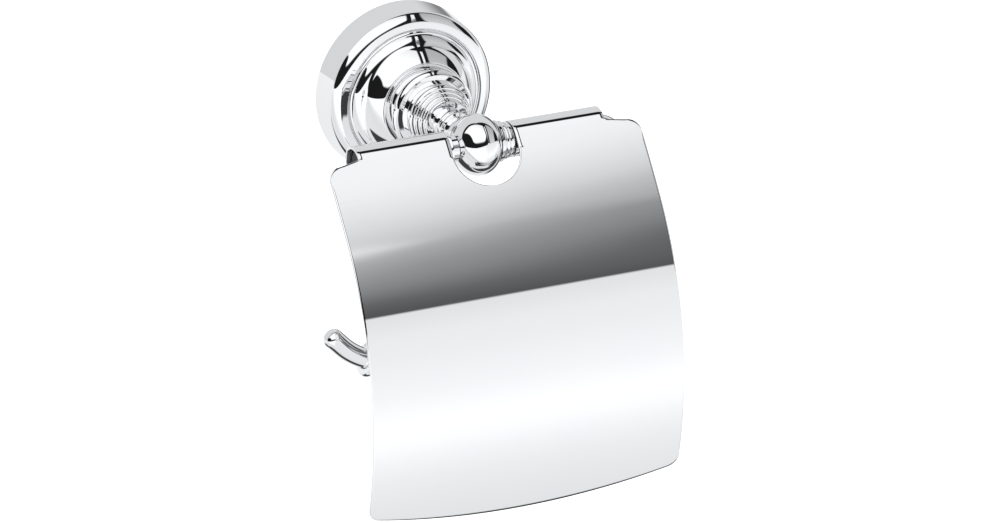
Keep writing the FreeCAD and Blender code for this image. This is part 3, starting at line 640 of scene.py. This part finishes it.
def collar_right_outline():
    """Grooved collar, dished to clear the ball."""
    start, edge = beside_ball(COLLAR_RADIUS), EDGE
    step = (COLLAR_END - start) / COLLAR_PARTS
    slope = step * COLLAR_SLOPE
    hump = COLLAR_END - step * COLLAR_FOOT_RUN - slope * 2
    rear = hump - step * COLLAR_HUMP_RUN
    return [
        (beside_ball(FITTING_BORE), FITTING_BORE),
        (COLLAR_END, FITTING_BORE),
        (COLLAR_END, COLLAR_FOOT - edge),
        (COLLAR_END - edge, COLLAR_FOOT),
        (hump + slope * 2, COLLAR_FOOT),
        (hump + slope, COLLAR_WAIST),
        (hump, COLLAR_WAIST),
        (hump, COLLAR_MIDDLE - edge, COLLAR_HUMP_ROUND, 1),
        (rear, COLLAR_MIDDLE - edge),
        (rear, COLLAR_WAIST),
        (rear - slope, COLLAR_WAIST),
        (rear - slope * 2, COLLAR_RADIUS - edge),
        (rear - slope * 4, COLLAR_RADIUS),
        (start, COLLAR_RADIUS, BALL_SIDE + CLEAR, -1),
    ]


def collar_left_outline():
    """Plain spacer: a short neck and a thin flange."""
    return [
        (-beside_ball(FITTING_BORE), FITTING_BORE),
        (-beside_ball(SPACER_NECK), SPACER_NECK),
        (-COLLAR_END + SPACER_FLANGE, SPACER_NECK),
        (-COLLAR_END + SPACER_FLANGE, SPACER_RADIUS),
        (-COLLAR_END + EDGE, SPACER_RADIUS),
        (-COLLAR_END, SPACER_RADIUS - EDGE),
        (-COLLAR_END, FITTING_BORE),
    ]


def bar_ring_outline():
    inside, flat = AXLE_RADIUS + GAP * 2, BAR_RING_RADIUS - EDGE
    return [
        (-BAR_RING_HALF, inside),
        (BAR_RING_HALF, inside),
        (BAR_RING_HALF, flat, BAR_RING_ROUND, 1),
        (-BAR_RING_HALF, flat),
    ]


# ---------------------------------------------------------------- arm

AXLE_LEFT, LEG_OFFSET, LEG_BEND, BAR_DROP = 44.0, 58.0, 9.0, 80.5
TIP_START, TIP_BEND, TIP_ANGLE, TIP_RUN, TIP_ROUND = 34.0, 30.0, 46.0, 8.0, 3.0


def rod_stations():
    """(x, z, heading, radius) down the rod's centre line, all in mm and radians."""
    stations = []

    def straight(x, z, heading, length, parts):
        for k in range(1, parts + 1):
            reach = length * k / parts
            stations.append((x + math.cos(heading) * reach, z + math.sin(heading) * reach,
                             heading, AXLE_RADIUS))

    def bend(x, z, heading, radius, sweep, parts):
        middle_x = x + math.sin(heading) * radius
        middle_z = z - math.cos(heading) * radius
        for k in range(1, parts + 1):
            now = heading - sweep * k / parts
            stations.append((middle_x - math.sin(now) * radius, middle_z + math.cos(now) * radius,
                             now, AXLE_RADIUS))

    quarter = math.pi / 2
    for inset, radius in ((0, AXLE_RADIUS - EDGE), (EDGE * 0.1, AXLE_RADIUS - EDGE * 0.86),
                          (EDGE * 0.86, AXLE_RADIUS - EDGE * 0.1), (EDGE, AXLE_RADIUS)):
        stations.append((-AXLE_LEFT + inset, 0.0, 0.0, radius))
    straight(-AXLE_LEFT + EDGE, 0.0, 0.0, AXLE_LEFT + LEG_OFFSET - LEG_BEND - EDGE, 30)
    bend(LEG_OFFSET - LEG_BEND, 0.0, 0.0, LEG_BEND, quarter, 24)
    straight(LEG_OFFSET, -LEG_BEND, -quarter, BAR_DROP - LEG_BEND * 2, 20)
    bend(LEG_OFFSET, -BAR_DROP + LEG_BEND, -quarter, LEG_BEND, quarter, 24)
    straight(LEG_OFFSET - LEG_BEND, -BAR_DROP, -quarter * 2, LEG_OFFSET - LEG_BEND + TIP_START, 24)
    angle = math.radians(TIP_ANGLE)
    bend(-TIP_START, -BAR_DROP, -quarter * 2, TIP_BEND, angle, 20)
    x, z, heading, _ = stations[-1]
    straight(x, z, heading, TIP_RUN - TIP_ROUND, 3)
    x, z, heading, _ = stations[-1]
    for k in range(1, 11):
        turn = quarter * k / 10
        reach = TIP_ROUND * math.sin(turn)
        stations.append((x + math.cos(heading) * reach, z + math.sin(heading) * reach, heading,
                         AXLE_RADIUS - TIP_ROUND + TIP_ROUND * math.cos(turn)))
    return stations


def swept_rod():
    """Rings of the rod's section set along its centre line and bridged one to the next."""
    shape = bmesh.new()
    last = None
    stations = rod_stations()
    for number, (x, z, heading, radius) in enumerate(stations):
        along = Vector((math.cos(heading), 0, math.sin(heading)))
        level = Vector((0, 1, 0))
        turn = Matrix((level.cross(along), level, along)).transposed().to_4x4()
        place = Matrix.Translation(Vector((x, -REACH, z)) * MM) @ turn
        capped = number in (0, len(stations) - 1)
        ring = bmesh.ops.create_circle(shape, cap_ends=capped, segments=ROUND_STEPS, radius=radius * MM,
                                       matrix=place)["verts"]
        members = set(ring)
        rim = [edge for edge in {edge for vert in ring for edge in vert.link_edges}
               if members.issuperset(edge.verts) and (not capped or len(edge.link_faces) == 1)]
        if last is not None:
            bmesh.ops.bridge_loops(shape, edges=last + rim)
        last = rim
    return shape


# ---------------------------------------------------------------- cover

SHEET, HALF_WIDTH, ROLL_RADIUS, ROLL_OUTER, ROLL_WRAP = 1.0, 64.0, 7.0, 50.5, 310.0
SLOPES = [math.radians(angle) for angle in (50.0, 54.0, 90.0, 108.6)]
BOWS = (470.0, 113.0, 138.0)
FOOT_RISE, CORNER, NOTCH_HALF = 7.1, 5.0, 13.5
SHOULDER_STEP, SHOULDER_FALL, SHOULDER_NEAR = 0.5, 2.0, 51.1
ROLL_ROWS, TOP_ROWS, NOTCH_ROWS, FRONT_ROWS = 56, 8, 18, 84
NOTCH_COLUMNS, ROLL_COLUMNS, SLOPE_COLUMNS, CORNER_COLUMNS = 24, 24, 6, 12
TOP_END, NOTCH_END, NOTCH_SPREAD = 5.2, 24.0, 22.0


def mixed(first, last, share):
    return first + (last - first) * share


def cover_spot(run):
    """(out, up) of the outer face at a distance down the sheet from its top edge, in mm."""
    if run < 0:
        turn = math.pi / 2 + SLOPES[0] + run / ROLL_RADIUS
        return -math.cos(turn) * ROLL_RADIUS, math.sin(turn) * ROLL_RADIUS
    out, up = math.sin(SLOPES[0]) * ROLL_RADIUS, math.cos(SLOPES[0]) * ROLL_RADIUS
    for bow, first, last in zip(BOWS, SLOPES, SLOPES[1:]):
        slope = min(first + run / bow, last) if last != SLOPES[-1] else first + run / bow
        out += bow * (math.sin(slope) - math.sin(first))
        up += bow * (math.cos(slope) - math.cos(first))
        run -= bow * (slope - first)
    return out, up


def foot_line(x):
    """How far down the sheet its bowed foot lies at a place across, with rounded corners."""
    front_end = sum(bow * (last - first) for bow, first, last in zip(BOWS[:2], SLOPES, SLOPES[1:]))
    straight_up = cover_spot(front_end)[1]
    lowest = straight_up + BOWS[2] * math.cos(SLOPES[3]) + SHEET / 2
    bow = (HALF_WIDTH ** 2 + FOOT_RISE ** 2) / (FOOT_RISE * 2)
    lean = (HALF_WIDTH - CORNER) / (bow - CORNER)
    centre = lowest + bow
    if abs(x) < bow * lean:
        height = centre - math.sqrt(bow * bow - x * x)
    else:
        inside = min(abs(x) - (HALF_WIDTH - CORNER), CORNER)
        height = centre - (bow - CORNER) * math.sqrt(1 - lean * lean)
        height -= math.sqrt(CORNER ** 2 - inside ** 2)
    return front_end + BOWS[2] * (math.acos((height - straight_up) / BOWS[2]) - math.pi / 2)


def top_line(x):
    """How far down the sheet its top edge lies at a place across: level, a step, a shoulder."""
    if x <= ROLL_OUTER:
        return 0.0
    if x <= HALF_WIDTH - CORNER:
        share = (x - ROLL_OUTER) / (HALF_WIDTH - CORNER - ROLL_OUTER)
        return mixed(SHOULDER_STEP, SHOULDER_FALL, share)
    inside = min(x - (HALF_WIDTH - CORNER), CORNER)
    return SHOULDER_FALL + CORNER - math.sqrt(CORNER ** 2 - inside ** 2)


def cover_columns():
    """For each column from the middle out: place across at the top edge, at the notch's shoulder,
    below the notch and at the foot."""
    columns = []
    for k in range(NOTCH_COLUMNS + 1):
        near = NOTCH_HALF * math.sin(math.pi / 2 * k / NOTCH_COLUMNS)
        wide = NOTCH_SPREAD * k / NOTCH_COLUMNS
        columns.append((near, near, wide, wide))
    for k in range(1, ROLL_COLUMNS + 1):
        near = mixed(NOTCH_HALF, ROLL_OUTER, k / ROLL_COLUMNS)
        wide = mixed(NOTCH_SPREAD, ROLL_OUTER, k / ROLL_COLUMNS)
        columns.append((near, near, wide, wide))
    edge = [mixed(SHOULDER_NEAR, HALF_WIDTH - CORNER, k / SLOPE_COLUMNS)
            for k in range(SLOPE_COLUMNS + 1)]
    edge += [HALF_WIDTH - CORNER + CORNER * math.sin(math.pi / 2 * k / CORNER_COLUMNS)
             for k in range(1, CORNER_COLUMNS + 1)]
    for k, x in enumerate(edge):
        even = mixed(SHOULDER_NEAR, HALF_WIDTH, k / (len(edge) - 1))
        columns.append((x, even, even, x))
    return columns


def blank_spot(column, row):
    """Where a grid corner lies on the flat blank: across, and down from the top edge."""
    top_x, notch_x, front_x, foot_x = column
    if row <= ROLL_ROWS:
        return top_x, top_line(top_x) - math.radians(ROLL_WRAP) * ROLL_RADIUS * (1 - row / ROLL_ROWS)
    if notch_x < NOTCH_HALF:
        shoulder = TOP_END + math.sqrt(NOTCH_HALF ** 2 - notch_x ** 2)
    else:
        shoulder = TOP_END + 6.0 * max(notch_x - ROLL_OUTER, 0) / (HALF_WIDTH - ROLL_OUTER)
    row -= ROLL_ROWS
    if row <= TOP_ROWS:
        share = row / TOP_ROWS
        return mixed(top_x, notch_x, share), mixed(top_line(top_x), shoulder, share)
    row -= TOP_ROWS
    if row <= NOTCH_ROWS:
        share = row / NOTCH_ROWS
        return mixed(notch_x, front_x, share), mixed(shoulder, NOTCH_END, share)
    share = (row - NOTCH_ROWS) / FRONT_ROWS
    across = mixed(front_x, foot_x, max(0.0, share * 10 - 9))
    return across, mixed(NOTCH_END, foot_line(foot_x), share)


def bent_cover():
    """A grid cut to the blank's outline, bent and rolled, thickened, its edges rounded."""
    columns = cover_columns()
    wide = len(columns) - 1
    rows = ROLL_ROWS + TOP_ROWS + NOTCH_ROWS + FRONT_ROWS
    shape = bmesh.new()
    bmesh.ops.create_grid(shape, x_segments=wide * 2, y_segments=rows, size=1.0)
    waste = []
    for face in shape.faces:
        middle = face.calc_center_median()
        column = abs(middle.x) * wide
        row = (middle.y + 1) / 2 * rows
        in_notch = row < ROLL_ROWS + TOP_ROWS and column < NOTCH_COLUMNS
        past_roll = row < ROLL_ROWS and column > NOTCH_COLUMNS + ROLL_COLUMNS
        if in_notch or past_roll:
            waste.append(face)
    bmesh.ops.delete(shape, geom=waste, context="FACES")
    for vert in shape.verts:
        number, row = round(vert.co.x * wide), round((vert.co.y + 1) / 2 * rows)
        across, run = blank_spot(columns[abs(number)], row)
        out, up = cover_spot(run)
        vert.co = Vector((math.copysign(across, number), -REACH - out, up)) * MM
    shape.normal_update()
    front = min(shape.faces, key=lambda face: face.calc_center_median().y)
    if front.normal.y > 0:
        bmesh.ops.reverse_faces(shape, faces=shape.faces)
    bmesh.ops.solidify(shape, geom=shape.faces, thickness=SHEET * MM)
    shape.normal_update()
    edges = [edge for edge in shape.edges
             if len(edge.link_faces) == 2 and edge.calc_face_angle() > math.radians(50)]
    bmesh.ops.bevel(shape, geom=edges, offset=0.22 * MM, offset_type="OFFSET", segments=3,
                    profile=0.5, affect="EDGES", material=-1, clamp_overlap=False)
    return shape


# ---------------------------------------------------------------- build

make_sky()
make_camera()
make_floor()
scene.view_settings.view_transform = "Standard"

brass = make_chrome("chromed_brass", 0.05, 60.0)
sheet = make_chrome("chromed_sheet", 0.25, 22.0)
finishes = {
    "chromed_brass": brass,
    "chromed_sheet": sheet,
    "zinc_bracket": make_zinc("satin_zinc", 0.72, 1400.0),
    "zinc_fastener": make_zinc("dark_zinc", 0.6, 2200.0),
    "bush_plastic": make_plastic("black_plastic"),
}
SLOTS = {
    "wall_bracket": "zinc_bracket",
    "rosette_grub_screw": "zinc_fastener",
    "ball_grub_screw": "zinc_fastener",
    "stem_bolt": "zinc_fastener",
    "stem_washer": "zinc_fastener",
    "ball_stud": "zinc_fastener",
    "bush_left": "bush_plastic",
    "bush_right": "bush_plastic",
    "axle_cap": "bush_plastic",
    "cover": "chromed_sheet",
}
for name, node in nodes.items():
    material = finishes[SLOTS.get(name, "chromed_brass")]
    if not node.material_slots:
        node.data.materials.append(material)
    for slot in node.material_slots:
        slot.material = material

# for each spin: its steps, the length of a step along the outline, and its corners' rounds
FLANGE_SPIN, STEM_SPIN = (224, 0.7, 0.25), (160, 0.5, 0.2)
BALL_SPIN, RING_SPIN = (160, 0.4, 0.2), (128, 0.3, 0.15)
# each drilled hole: its radius, then where it starts and ends
FLANGE_HOLES = [
    (GRUB_RADIUS + GAP, (0, -BRACKET_MIDDLE, -25), (0, -BRACKET_MIDDLE, -40)),
]
BALL_HOLES = [
    (NECK_RADIUS + GAP, (0, -SEAT_DEPTH, 0), (0, -50, 0)),
    (THREAD_RADIUS + GAP, (0, -69, 0), (0, -55, 0)),
    (GRUB_RADIUS + GAP, (0, -REACH, -3), (0, -REACH, -14)),
]
# how far round the tip's bend the bar's ring sits
RING_TURN = math.radians(21)


def bar_ring_seat():
    """Where the ring sits on the bar, seen from the axle."""
    x = -TIP_START - TIP_BEND * math.sin(RING_TURN)
    z = -BAR_DROP + TIP_BEND * (1 - math.cos(RING_TURN))
    seat = Matrix.Translation(AXLE + Vector((x, 0, z)) * MM) @ Matrix.Rotation(RING_TURN, 4, "Y")
    return seat @ Matrix.Translation(-AXLE)


plate = ("chromed_brass", brass)
rosette = finished_mesh("rosette_turned", spun(rosette_outline(), "stem", *FLANGE_SPIN))
shown("rosette_turned", bored(rosette, FLANGE_HOLES), "holder", "rosette", *plate)
stem = finished_mesh("stem_turned", spun(stem_outline(), "stem", *STEM_SPIN))
shown("stem_turned", stem, "holder", "stem", *plate)
ball = finished_mesh("ball_turned", spun(ball_outline(), "axle", *BALL_SPIN))
shown("ball_turned", bored(ball, BALL_HOLES), "holder", "ball", *plate)
for name, outline in (("collar_right", collar_right_outline()), ("collar_left", collar_left_outline())):
    ring = finished_mesh(f"{name}_turned", spun(outline, "axle", *RING_SPIN))
    shown(f"{name}_turned", ring, "holder", name, *plate)
ring = finished_mesh("bar_ring_turned", spun(bar_ring_outline(), "axle", *RING_SPIN, bar_ring_seat()))
shown("bar_ring_turned", ring, "holder", "bar_ring", *plate)
cover = finished_mesh("cover_bent", bent_cover(), 75.0)
shown("cover_bent", cover, "lid", "cover", "chromed_sheet", sheet)
arm = finished_mesh("arm_rod", swept_rod())
shown("arm_rod", arm, "holder", "arm", *plate)
